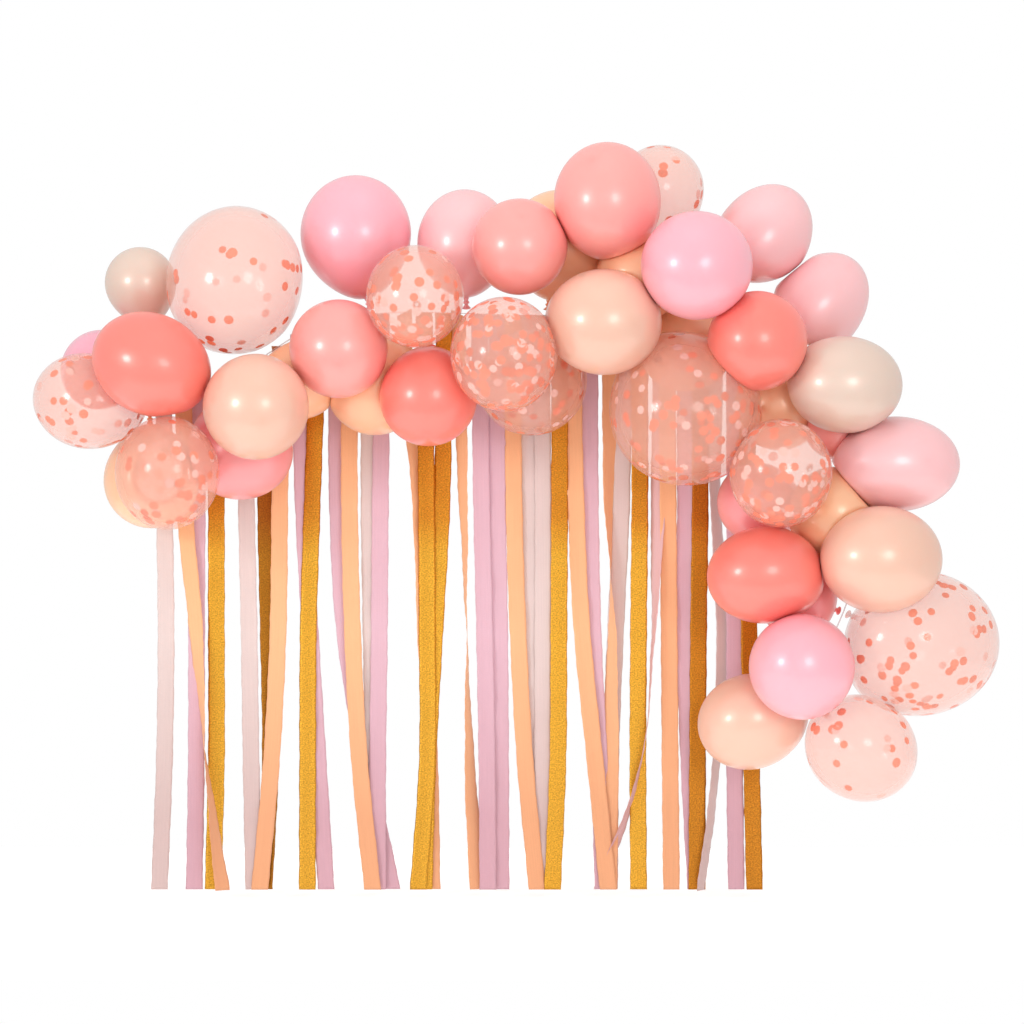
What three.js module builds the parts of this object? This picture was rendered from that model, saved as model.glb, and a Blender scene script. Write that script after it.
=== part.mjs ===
// A balloon garland: latex balloons tied along a carrying strip that arches from the left end,
// over the middle and down the right side, with crepe streamers hanging behind them.
// Millimetres, +Z up, the front faces -Y. The origin is on the strip's top face, where it hangs.
import * as THREE from 'three';
import { mergeVertices } from 'three/addons/utils/BufferGeometryUtils.js';

// ---- Driving dimensions ----
const stripWidth = 25;
const stripThickness = 2;
const stripSteps = 26;               // straight lengths that each half of the strip is drawn with

const balloonSides = 10;
const noseAngles = [30, 60, 90];     // degrees from the nose to the girth
const taperSteps = [0.42, 0.72, 0.92];
const taperHollow = 0.2;             // how much slimmer than an ellipse the taper is at its end
const neckRadius = 11;
const knotRadius = 6;
const lipRadius = 13;
const neckLength = 32;
const knotSetBack = 16;              // from the end of the body to the knot
const stripClearance = 16;           // from the lip to the middle of the strip

const facetSwell = 1 / Math.sqrt(Math.cos(Math.PI / balloonSides));
const contactGap = 0.2;              // each balloon's share of the gap where two press together
const backPlane = 96;                // the balloons' backs press against this plane
const settlePasses = 40;

const streamerWidth = 50;
const streamerThickness = 1.5;
const streamerHem = -1710;
const streamerHeights = [-550, -935, -1325, streamerHem];
const streamerStart = stripWidth / 2 + streamerThickness / 2 + 0.3;
const stepsPerSpan = 2;

const colours = {
  coral: 0xff8273, rose: 0xffa096, pink: 0xffb9c8, palePink: 0xf5c8c8, peach: 0xfcc89c,
  cream: 0xf3d9bf, lilac: 0xe1b4cd, clear: 0xf5dcd6, pale: 0xebdcde, gold: 0xd79b1e, strip: 0xf2f2f2,
};

// The carrying strip's route in the X-Z plane, in two runs that meet at the straight
// hanging length over the origin.
const leftRun = [
  [-1215, -250], [-1110, -230], [-1010, -190], [-920, -150], [-820, -85], [-725, -30],
  [-615, -5], [-475, 8], [-295, 5], [-150, 0], [-40, -stripThickness / 2],
];
const rightRun = [
  [40, -stripThickness / 2], [135, 8], [245, 45], [385, 100], [505, 70], [605, -15], [715, -120],
  [800, -215], [848, -340], [855, -490], [850, -635], [866, -770], [858, -840], [828, -900],
  [806, -960], [790, -1040], [760, -1155],
];

// Each balloon: its girth radius, the middle of its girth, and how far it tapers behind the
// girth, in radii. A balloon is tied to the nearest place on the strip unless tiedAt names one.
// longer is how its neighbours' push lengthens it: [degrees from +X toward +Z, how many times].
const balloons = [
  { name: 'balloon_01_cream_small', colour: 'cream', radius: 105, at: [-1240, -20, 95], taper: 1.25 },
  {
    name: 'balloon_02_clear_large', colour: 'clear', radius: 203, at: [-951, -147, 91], taper: 1.2,
    longer: [84, 1.09],
  },
  {
    name: 'balloon_03_coral', colour: 'coral', radius: 147, at: [-1186, -300, -156], taper: 1.4,
    longer: [-25, 1.18], tiedAt: [-1060, -215],
  },
  { name: 'balloon_04_lilac', colour: 'lilac', radius: 120, at: [-1355, -25, -165], taper: 1.2 },
  {
    name: 'balloon_05_clear', colour: 'clear', radius: 140, at: [-1380, -180, -259], taper: 1.4,
    longer: [-10, 1.14],
  },
  {
    name: 'balloon_06_clear', colour: 'clear', radius: 152, at: [-1139, -280, -469], taper: 1.1,
    longer: [90, 1.09],
  },
  { name: 'balloon_07_peach', colour: 'peach', radius: 141, at: [-1205, -45, -490], taper: 1.2 },
  { name: 'balloon_08_cream', colour: 'cream', radius: 153, at: [-880, -330, -280], taper: 1.15 },
  {
    name: 'balloon_09_pink', colour: 'pink', radius: 141, at: [-942, -60, -406], taper: 1.2,
    longer: [0, 1.1],
  },
  {
    name: 'balloon_10_pink', colour: 'pink', radius: 163, at: [-602, -60, 236], taper: 1.36,
    longer: [90, 1.06],
  },
  { name: 'balloon_11_rose', colour: 'rose', radius: 143, at: [-645, -250, -110], taper: 1.2 },
  {
    name: 'balloon_12_clear', colour: 'clear', radius: 141, at: [-421, -350, 37], taper: 1.15,
    longer: [90, 1.05],
  },
  { name: 'balloon_13_coral', colour: 'coral', radius: 142, at: [-385, -230, -250], taper: 1.2 },
  {
    name: 'balloon_14_pale_pink', colour: 'palePink', radius: 140, at: [-281, -60, 209], taper: 1.4,
    longer: [90, 1.13],
  },
  { name: 'balloon_15_rose', colour: 'rose', radius: 139, at: [-120, -275, 185], taper: 1.15 },
  {
    name: 'balloon_16_clear', colour: 'clear', radius: 155, at: [-165, -370, -130], taper: 1.1,
    longer: [90, 1.07],
  },
  { name: 'balloon_17_cream', colour: 'cream', radius: 156, at: [0, -60, 210], taper: 1.2 },
  {
    name: 'balloon_18_rose', colour: 'rose', radius: 155, at: [134, -270, 319], taper: 1.2,
    longer: [90, 1.09],
  },
  { name: 'balloon_19_clear', colour: 'clear', radius: 128, at: [295, -60, 370], taper: 1.2 },
  {
    name: 'balloon_20_cream', colour: 'cream', radius: 153, at: [124, -340, -36], taper: 1.3,
    longer: [0, 1.08], tiedAt: [-90, -1],
  },
  { name: 'balloon_21_peach', colour: 'peach', radius: 128, at: [230, -195, 100], taper: 1.2 },
  {
    name: 'balloon_22_pink', colour: 'pink', radius: 156, at: [387, -400, 123], taper: 1.15,
    longer: [0, 1.03],
  },
  {
    name: 'balloon_23_pale_pink', colour: 'palePink', radius: 137, at: [593, -60, 220], taper: 1.4,
    longer: [55, 1.27],
  },
  {
    name: 'balloon_24_pink', colour: 'pink', radius: 134, at: [755, -60, 19], taper: 1.2,
    longer: [50, 1.34],
  },
  { name: 'balloon_25_coral', colour: 'coral', radius: 144, at: [565, -330, -90], taper: 1.1 },
  {
    name: 'balloon_26_cream', colour: 'cream', radius: 140, at: [824, -260, -215], taper: 1.3,
    longer: [0, 1.18], tiedAt: [700, -105],
  },
  {
    name: 'balloon_27_clear_large', colour: 'clear', radius: 215, at: [363, -240, -293], taper: 1.27,
    longer: [0, 1.03],
  },
  {
    name: 'balloon_28_clear', colour: 'clear', radius: 150, at: [633, -330, -471], taper: 1.1,
    longer: [90, 1.05],
  },
  {
    name: 'balloon_29_pink', colour: 'pink', radius: 139, at: [975, -180, -443], taper: 1.65,
    longer: [0, 1.36],
  },
  {
    name: 'balloon_30_coral', colour: 'coral', radius: 140, at: [589, -252, -764], taper: 1.34,
    longer: [8, 1.19],
  },
  {
    name: 'balloon_31_cream', colour: 'cream', radius: 155, at: [925, -290, -720], taper: 1.3,
    longer: [0, 1.14],
  },
  {
    name: 'balloon_32_clear_large', colour: 'clear', radius: 214, at: [1042, -120, -967], taper: 1.2,
    longer: [0, 1.14],
  },
  { name: 'balloon_33_pink', colour: 'pink', radius: 153, at: [695, -300, -1030], taper: 1.15 },
  {
    name: 'balloon_34_peach', colour: 'peach', radius: 140, at: [556, -130, -1197], taper: 1.25,
    longer: [15, 1.11],
  },
  {
    name: 'balloon_35_clear', colour: 'clear', radius: 153, at: [874, -200, -1270], taper: 1.12,
    longer: [-30, 1.1],
  },
  { name: 'balloon_36_pink', colour: 'pink', radius: 118, at: [580, -60, -555], taper: 1.2 },
  { name: 'balloon_37_pink', colour: 'pink', radius: 128, at: [716, -60, -840], taper: 1.2 },
  { name: 'balloon_38_clear', colour: 'clear', radius: 164, at: [-85, -65, -195], taper: 1.15 },
  { name: 'balloon_39_peach', colour: 'peach', radius: 138, at: [-775, -60, -174], taper: 1.2 },
  { name: 'balloon_40_peach', colour: 'peach', radius: 147, at: [-545, -60, -210], taper: 1.2 },
  { name: 'balloon_41_coral_small', colour: 'coral', radius: 105, at: [815, -110, -325], taper: 1.15 },
  { name: 'balloon_42_peach', colour: 'peach', radius: 132, at: [645, -60, -270], taper: 1.2 },
  { name: 'balloon_43_peach', colour: 'peach', radius: 141, at: [370, -60, -90], taper: 1.2 },
  { name: 'balloon_44_peach', colour: 'peach', radius: 140, at: [805, -145, -590], taper: 1.15 },
];

// Each streamer: x where it leaves the strip and at each of streamerHeights, how far behind the
// strip it hangs, and, where it twists, its turn in degrees at the same five places.
const streamers = [
  { name: 'streamer_01_pale', colour: 'pale', across: [-1180, -1180, -1175, -1180, -1195], back: 108 },
  {
    name: 'streamer_02_peach_twisted', colour: 'peach', back: 101, hemBack: 78,
    across: [-1120, -1120, -1085, -1055, -1005], turn: [0, 5, 30, 92, 145],
  },
  { name: 'streamer_03_gold', colour: 'gold', across: [-1025, -1025, -1025, -1025, -1035], back: 112 },
  { name: 'streamer_04_peach', colour: 'peach', across: [-830, -835, -840, -860, -895], back: 102 },
  { name: 'streamer_05_gold', colour: 'gold', across: [-725, -738, -750, -752, -753], back: 102 },
  { name: 'streamer_06_peach', colour: 'peach', across: [-627, -627, -618, -597, -558], back: 101 },
  { name: 'streamer_07_lilac', colour: 'lilac', across: [-530, -535, -538, -543, -543], back: 109 },
  { name: 'streamer_08_gold', colour: 'gold', across: [-403, -397, -395, -395, -422], back: 102 },
  {
    name: 'streamer_09_peach_twisted', colour: 'peach', back: 112,
    across: [-300, -287, -277, -268, -244], turn: [30, 57, 88, 125, 165],
  },
  { name: 'streamer_10_lilac', colour: 'lilac', across: [-238, -233, -224, -217, -214], back: 102 },
  { name: 'streamer_11_pale', colour: 'pale', across: [-54, -49, -50, -50, -50], back: 109 },
  { name: 'streamer_12_gold', colour: 'gold', across: [0, 0, -2, -5, -21], back: 101 },
  { name: 'streamer_13_gold', colour: 'gold', across: [240, 240, 236, 234, 236], back: 109 },
  { name: 'streamer_14_gold', colour: 'gold', across: [420, 420, 415, 412, 410], back: 104 },
  { name: 'streamer_15_gold', colour: 'gold', across: [558, 562, 566, 573, 582], back: 104 },
];

// ---- Shared maths ----
function stripCurve(run) {
  return new THREE.CatmullRomCurve3(run.map(([x, z]) => new THREE.Vector3(x, 0, z)), false, 'centripetal');
}

const stripPoints = [leftRun, rightRun].flatMap(
  (run) => stripCurve(run).getSpacedPoints(stripSteps),
);

function nearestOnStrip(place) {
  let nearest = stripPoints[0];
  for (const point of stripPoints) {
    if (point.distanceTo(place) < nearest.distanceTo(place)) nearest = point;
  }
  return nearest;
}

function stripHeightAt(x) {
  for (let i = 1; i < stripPoints.length; i += 1) {
    const before = stripPoints[i - 1];
    const after = stripPoints[i];
    if (x >= before.x && x <= after.x) {
      const share = (x - before.x) / (after.x - before.x);
      return THREE.MathUtils.lerp(before.z, after.z, share);
    }
  }
  return x < stripPoints[0].x ? stripPoints[0].z : stripPoints[stripPoints.length - 1].z;
}

// ---- Carrying strip: a flat tape on edge, whose flat faces point up and down ----
function carryingStrip() {
  const half = stripThickness / 2;
  const above = [];
  const below = [];
  stripPoints.forEach((point, i) => {
    const before = stripPoints[Math.max(i - 1, 0)];
    const after = stripPoints[Math.min(i + 1, stripPoints.length - 1)];
    const along = after.clone().sub(before).normalize();
    above.push(new THREE.Vector2(point.x - along.z * half, point.z + along.x * half));
    below.push(new THREE.Vector2(point.x + along.z * half, point.z - along.x * half));
  });
  const outline = new THREE.Shape([...above, ...below.reverse()]);
  const tape = new THREE.ExtrudeGeometry(outline, { depth: stripWidth, bevelEnabled: false });
  tape.translate(0, 0, -stripWidth / 2);
  tape.rotateX(Math.PI / 2);
  return tape;
}

// ---- Balloons ----
function balloonProfile(radius, taper, lipHeight) {
  const points = [new THREE.Vector2(0, -radius)];
  for (const degrees of noseAngles) {
    const angle = THREE.MathUtils.degToRad(degrees);
    points.push(new THREE.Vector2(facetSwell * radius * Math.sin(angle), -radius * Math.cos(angle)));
  }
  for (const step of taperSteps) {
    const width = Math.sqrt(1 - step * step) * (1 - taperHollow * step * step);
    points.push(new THREE.Vector2(facetSwell * radius * width, radius * taper * step));
  }
  const neckHeight = lipHeight - neckLength;
  points.push(new THREE.Vector2(neckRadius, neckHeight));
  points.push(new THREE.Vector2(knotRadius, neckHeight + knotSetBack));
  points.push(new THREE.Vector2(lipRadius, lipHeight));
  points.push(new THREE.Vector2(0, lipHeight));
  return points;
}

// Makes a balloon times as long along one way, degrees from +X toward +Z.
function lengthening(degrees, times) {
  const x = Math.cos(THREE.MathUtils.degToRad(degrees));
  const z = Math.sin(THREE.MathUtils.degToRad(degrees));
  const more = times - 1;
  return new THREE.Matrix4().set(
    1 + more * x * x, 0, more * x * z, 0,
    0, 1, 0, 0,
    more * x * z, 0, 1 + more * z * z, 0,
    0, 0, 0, 1,
  );
}

function placedBalloon(balloon) {
  const middle = new THREE.Vector3(...balloon.at);
  const [way, times] = balloon.longer ?? [0, 1];
  const push = lengthening(way, times);
  const tie = balloon.tiedAt
    ? new THREE.Vector3(balloon.tiedAt[0], 0, balloon.tiedAt[1])
    : nearestOnStrip(middle);
  const toTie = tie.clone().sub(middle);
  const clear = 1 - stripClearance / toTie.length();
  toTie.applyMatrix4(lengthening(way, 1 / times));
  const reach = toTie.length() * clear;
  const lipHeight = Math.min(balloon.radius * balloon.taper + neckLength, reach);
  const taper = Math.min(balloon.taper, (lipHeight - neckLength) / balloon.radius);
  const lathe = new THREE.LatheGeometry(
    balloonProfile(balloon.radius, taper, lipHeight), balloonSides,
  );
  const aim = toTie.normalize();
  lathe.applyQuaternion(new THREE.Quaternion().setFromUnitVectors(new THREE.Vector3(0, 1, 0), aim));
  lathe.applyMatrix4(push);
  lathe.deleteAttribute('normal');
  lathe.deleteAttribute('uv');
  return { ...balloon, middle, push, lipHeight, geometry: mergeVertices(lathe, 0.01) };
}

// The flat planes where this balloon presses on its neighbours and on the back plane.
function pressingPlanes(balloon, all) {
  const planes = [{ out: new THREE.Vector3(0, 1, 0), reach: backPlane - balloon.middle.y }];
  for (const other of all) {
    if (other === balloon) continue;
    const between = other.middle.clone().sub(balloon.middle);
    const distance = between.length();
    if (distance > 1.2 * (balloon.lipHeight + other.lipHeight)) continue;
    const out = between.divideScalar(distance);
    const own = balloon.radius * out.clone().applyMatrix4(balloon.push).length();
    const others = other.radius * out.clone().applyMatrix4(other.push).length();
    const slack = distance - own - others;
    const lens = (distance ** 2 + own ** 2 - others ** 2) / (2 * distance);
    planes.push({ out, reach: (slack > 0 ? own + slack / 2 : lens) - contactGap });
  }
  return planes;
}

function pressFlat(balloon, all) {
  const planes = pressingPlanes(balloon, all);
  const places = balloon.geometry.getAttribute('position');
  const place = new THREE.Vector3();
  for (let i = 0; i < places.count; i += 1) {
    place.fromBufferAttribute(places, i);
    for (let pass = 0; pass < settlePasses; pass += 1) {
      for (const plane of planes) {
        const excess = place.dot(plane.out) - plane.reach;
        if (excess > 0) place.addScaledVector(plane.out, -excess);
      }
    }
    places.setXYZ(i, place.x, place.y, place.z);
  }
  balloon.geometry.computeVertexNormals();
}

// ---- Streamers: a paper ribbon from the strip's back edge, over behind the balloons and down ----
function streamerRoute({ across, back, hemBack = back }) {
  const top = stripHeightAt(across[0]);
  const points = [
    new THREE.Vector3(across[0], streamerStart, top),
    new THREE.Vector3(across[0], back * 0.62, top - 28),
    new THREE.Vector3(across[0], back, top - 120),
  ];
  streamerHeights.forEach((height, i) => {
    const share = i / (streamerHeights.length - 1);
    points.push(new THREE.Vector3(across[i + 1], THREE.MathUtils.lerp(back, hemBack, share), height));
  });
  return new THREE.CatmullRomCurve3(points, false, 'centripetal');
}

function turnAt(turn, along, spans) {
  const topSpans = 2;
  const place = Math.max(along * spans - topSpans, 0);
  const i = Math.min(Math.floor(place), turn.length - 2);
  return THREE.MathUtils.degToRad(THREE.MathUtils.lerp(turn[i], turn[i + 1], place - i));
}

// The four corners of the ribbon's section: front left, front right, back right, back left.
const ribbonCorners = [[-0.5, -0.5], [0.5, -0.5], [0.5, 0.5], [-0.5, 0.5]].map(
  ([across, face]) => [across * streamerWidth, face * streamerThickness],
);

// The quads between one section and the next are cut along the same diagonal on the front and
// on the back, so that a twisted ribbon keeps its thickness.
const ribbonQuads = [
  [0, 1, 5], [0, 5, 4], [1, 2, 6], [1, 6, 5], [2, 3, 6], [3, 7, 6], [3, 0, 4], [3, 4, 7],
];

function streamerGeometry(streamer) {
  const route = streamerRoute(streamer);
  const spans = route.points.length - 1;
  const steps = spans * (streamer.turn ? 2 * stepsPerSpan : stepsPerSpan);
  const places = [];
  const triangles = [[0, 2, 1], [0, 3, 2]];
  for (let step = 0; step <= steps; step += 1) {
    const along = step / steps;
    const tangent = route.getTangent(along);
    const across = new THREE.Vector3(1, 0, 0).addScaledVector(tangent, -tangent.x).normalize();
    const turn = streamer.turn ? turnAt(streamer.turn, along, spans) : 0;
    across.applyAxisAngle(tangent, turn);
    const face = new THREE.Vector3().crossVectors(tangent, across);
    for (const [acrossBy, faceBy] of ribbonCorners) {
      const place = route.getPoint(along).addScaledVector(across, acrossBy).addScaledVector(face, faceBy);
      places.push(place.x, place.y, step === steps ? streamerHem : place.z);
    }
    if (step < steps) {
      triangles.push(...ribbonQuads.map((corners) => corners.map((corner) => corner + step * 4)));
    }
  }
  triangles.push(...[[0, 1, 2], [0, 2, 3]].map((corners) => corners.map((corner) => corner + steps * 4)));
  const ribbon = new THREE.BufferGeometry();
  ribbon.setAttribute('position', new THREE.Float32BufferAttribute(places, 3));
  ribbon.setIndex(triangles.flat());
  ribbon.computeVertexNormals();
  return ribbon;
}

// ---- Assembly ----
function material(colour, roughness) {
  return new THREE.MeshStandardMaterial({
    color: colours[colour], roughness, metalness: colour === 'gold' ? 0.6 : 0,
    transparent: colour === 'clear', opacity: colour === 'clear' ? 0.35 : 1,
  });
}

function named(name, geometry, look) {
  const mesh = new THREE.Mesh(geometry, look);
  mesh.name = name;
  return mesh;
}

const garland = new THREE.Group();
garland.name = 'balloon_garland';
garland.add(named('carrying_strip', carryingStrip(), material('strip', 0.3)));

const placed = balloons.map(placedBalloon);
for (const balloon of placed) {
  pressFlat(balloon, placed);
  const mesh = named(balloon.name, balloon.geometry, material(balloon.colour, 0.3));
  mesh.position.copy(balloon.middle);
  garland.add(mesh);
}

for (const streamer of streamers) {
  garland.add(named(streamer.name, streamerGeometry(streamer), material(streamer.colour, 0.8)));
}

export default garland;
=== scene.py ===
"""A balloon garland: pearly and confetti-filled balloons tied along a clear tape that arches
over the middle and comes down the right side, with crepe paper streamers hanging behind.
Metres, +Z up, the front faces -Y. The origin is on the tape's top face, where it hangs."""

import math

import bmesh
import bpy
import numpy as np
from bpy.props import FloatProperty, FloatVectorProperty, IntProperty, PointerProperty
from mathutils import Color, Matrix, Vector


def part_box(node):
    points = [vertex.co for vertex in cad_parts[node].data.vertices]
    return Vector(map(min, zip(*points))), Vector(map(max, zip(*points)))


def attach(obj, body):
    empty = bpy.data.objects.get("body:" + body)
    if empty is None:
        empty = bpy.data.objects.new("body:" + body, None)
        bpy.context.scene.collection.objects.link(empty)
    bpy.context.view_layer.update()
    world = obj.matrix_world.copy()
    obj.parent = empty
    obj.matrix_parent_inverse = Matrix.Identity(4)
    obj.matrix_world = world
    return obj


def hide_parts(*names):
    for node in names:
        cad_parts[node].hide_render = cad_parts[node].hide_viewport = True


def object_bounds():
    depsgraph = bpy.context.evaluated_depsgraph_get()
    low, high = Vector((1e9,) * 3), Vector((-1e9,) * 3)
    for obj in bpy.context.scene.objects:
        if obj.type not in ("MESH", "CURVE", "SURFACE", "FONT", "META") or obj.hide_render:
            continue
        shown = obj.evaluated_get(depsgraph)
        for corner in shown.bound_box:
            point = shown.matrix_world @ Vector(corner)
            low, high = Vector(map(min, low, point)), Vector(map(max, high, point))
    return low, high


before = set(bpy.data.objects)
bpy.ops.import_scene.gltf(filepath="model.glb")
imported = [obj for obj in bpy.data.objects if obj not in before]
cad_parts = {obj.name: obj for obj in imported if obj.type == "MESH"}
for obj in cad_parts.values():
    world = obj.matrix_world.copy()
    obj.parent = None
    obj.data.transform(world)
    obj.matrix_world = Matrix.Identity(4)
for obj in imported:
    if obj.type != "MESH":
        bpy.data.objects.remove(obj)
CAD_LOW, CAD_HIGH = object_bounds()

bl_info = {
    "name": "Balloon Garland",
    "version": (1, 0, 0),
    "blender": (4, 5, 0),
    "location": "View3D > Sidebar > Garland",
    "description": "Builds a balloon garland with confetti balloons and crepe streamers",
    "category": "Add Mesh",
}

# ---- The garland's pieces ----
# Each balloon: its solid's name, its latex, the girth's radius, the middle of the girth, how far
# it tapers behind the girth in radii, and how it is lengthened: the way in degrees from +X toward
# +Z, and how many times.
BALLOONS = (
    ("balloon_01_cream_small", "cream", 0.105, (-1.240, -0.020, 0.095), 1.25, (0, 1)),
    ("balloon_02_clear_large", "clear", 0.203, (-0.951, -0.147, 0.091), 1.2, (84, 1.09)),
    ("balloon_03_coral", "coral", 0.147, (-1.186, -0.300, -0.156), 1.4, (-25, 1.18)),
    ("balloon_04_lilac", "lilac", 0.120, (-1.355, -0.025, -0.165), 1.2, (0, 1)),
    ("balloon_05_clear", "clear", 0.140, (-1.380, -0.180, -0.259), 1.4, (-10, 1.14)),
    ("balloon_06_clear", "clear", 0.152, (-1.139, -0.280, -0.469), 1.1, (90, 1.09)),
    ("balloon_07_peach", "peach", 0.141, (-1.205, -0.045, -0.490), 1.2, (0, 1)),
    ("balloon_08_cream", "cream_peach", 0.153, (-0.880, -0.330, -0.280), 1.15, (0, 1)),
    ("balloon_09_pink", "pink_in_shade", 0.141, (-0.942, -0.060, -0.406), 1.2, (0, 1.1)),
    ("balloon_10_pink", "pink", 0.163, (-0.602, -0.060, 0.236), 1.36, (90, 1.06)),
    ("balloon_11_rose", "rose", 0.143, (-0.645, -0.250, -0.110), 1.2, (0, 1)),
    ("balloon_12_clear", "clear", 0.141, (-0.421, -0.350, 0.037), 1.15, (90, 1.05)),
    ("balloon_13_coral", "coral", 0.142, (-0.385, -0.230, -0.250), 1.2, (0, 1)),
    ("balloon_14_pale_pink", "pale_pink", 0.140, (-0.281, -0.060, 0.209), 1.4, (90, 1.13)),
    ("balloon_15_rose", "rose", 0.139, (-0.120, -0.275, 0.185), 1.15, (0, 1)),
    ("balloon_16_clear", "clear", 0.155, (-0.165, -0.370, -0.130), 1.1, (90, 1.07)),
    ("balloon_17_cream", "peach", 0.156, (0.000, -0.060, 0.210), 1.2, (0, 1)),
    ("balloon_18_rose", "rose", 0.155, (0.134, -0.270, 0.319), 1.2, (90, 1.09)),
    ("balloon_19_clear", "clear", 0.128, (0.295, -0.060, 0.370), 1.2, (0, 1)),
    ("balloon_20_cream", "cream_peach", 0.153, (0.124, -0.340, -0.036), 1.3, (0, 1.08)),
    ("balloon_21_peach", "peach", 0.128, (0.230, -0.195, 0.100), 1.2, (0, 1)),
    ("balloon_22_pink", "pink", 0.156, (0.387, -0.400, 0.123), 1.15, (0, 1.03)),
    ("balloon_23_pale_pink", "pale_pink", 0.137, (0.593, -0.060, 0.220), 1.4, (55, 1.27)),
    ("balloon_24_pink", "pale_pink", 0.134, (0.755, -0.060, 0.019), 1.2, (50, 1.34)),
    ("balloon_25_coral", "coral", 0.144, (0.565, -0.330, -0.090), 1.1, (0, 1)),
    ("balloon_26_cream", "cream", 0.140, (0.824, -0.260, -0.215), 1.3, (0, 1.18)),
    ("balloon_27_clear_large", "clear", 0.215, (0.363, -0.240, -0.293), 1.27, (0, 1.03)),
    ("balloon_28_clear", "clear", 0.150, (0.633, -0.330, -0.471), 1.1, (90, 1.05)),
    ("balloon_29_pink", "pale_pink", 0.139, (0.975, -0.180, -0.443), 1.65, (0, 1.36)),
    ("balloon_30_coral", "coral", 0.140, (0.589, -0.252, -0.764), 1.34, (8, 1.19)),
    ("balloon_31_cream", "cream_peach", 0.155, (0.925, -0.290, -0.720), 1.3, (0, 1.14)),
    ("balloon_32_clear_large", "clear", 0.214, (1.042, -0.120, -0.967), 1.2, (0, 1.14)),
    ("balloon_33_pink", "pink", 0.153, (0.695, -0.300, -1.030), 1.15, (0, 1)),
    ("balloon_34_peach", "cream_peach", 0.140, (0.556, -0.130, -1.197), 1.25, (15, 1.11)),
    ("balloon_35_clear", "clear", 0.153, (0.874, -0.200, -1.270), 1.12, (-30, 1.1)),
    ("balloon_36_pink", "pink_in_shade", 0.118, (0.580, -0.060, -0.555), 1.2, (0, 1)),
    ("balloon_37_pink", "pink_in_shade", 0.128, (0.716, -0.060, -0.840), 1.2, (0, 1)),
    ("balloon_38_clear", "clear", 0.164, (-0.085, -0.065, -0.195), 1.15, (0, 1)),
    ("balloon_39_peach", "peach", 0.138, (-0.775, -0.060, -0.174), 1.2, (0, 1)),
    ("balloon_40_peach", "peach", 0.147, (-0.545, -0.060, -0.210), 1.2, (0, 1)),
    ("balloon_41_coral_small", "rose", 0.105, (0.815, -0.110, -0.325), 1.15, (0, 1)),
    ("balloon_42_peach", "peach", 0.132, (0.645, -0.060, -0.270), 1.2, (0, 1)),
    ("balloon_43_peach", "peach", 0.141, (0.370, -0.060, -0.090), 1.2, (0, 1)),
    ("balloon_44_peach", "peach", 0.140, (0.805, -0.145, -0.590), 1.15, (0, 1)),
)

# The balloons that aren't tied at the tape's nearest place, with the place (x, z) they are tied.
TIED_ELSEWHERE = {
    "balloon_03_coral": (-1.060, -0.215),
    "balloon_20_cream": (-0.090, -0.001),
    "balloon_26_cream": (0.700, -0.105),
}

# Paper discs in each clear balloon: how many, and the side they gather on.
CONFETTI = {
    "balloon_02_clear_large": (60, (0.5, -0.3, -0.8)),
    "balloon_05_clear": (64, (0.3, -0.2, -0.4)),
    "balloon_06_clear": (60, (0.5, -0.3, -0.6)),
    "balloon_12_clear": (105, (0.0, -0.3, -0.7)),
    "balloon_16_clear": (170, (0.0, -0.4, -0.3)),
    "balloon_19_clear": (30, (0.5, -0.2, 0.2)),
    "balloon_27_clear_large": (110, (0.2, -0.4, -0.6)),
    "balloon_28_clear": (150, (0.2, -0.3, -0.4)),
    "balloon_32_clear_large": (90, (-0.1, -0.3, -0.6)),
    "balloon_35_clear": (40, (-0.3, -0.3, 0.5)),
    "balloon_38_clear": (60, (0.1, -0.2, -0.6)),
}

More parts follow.
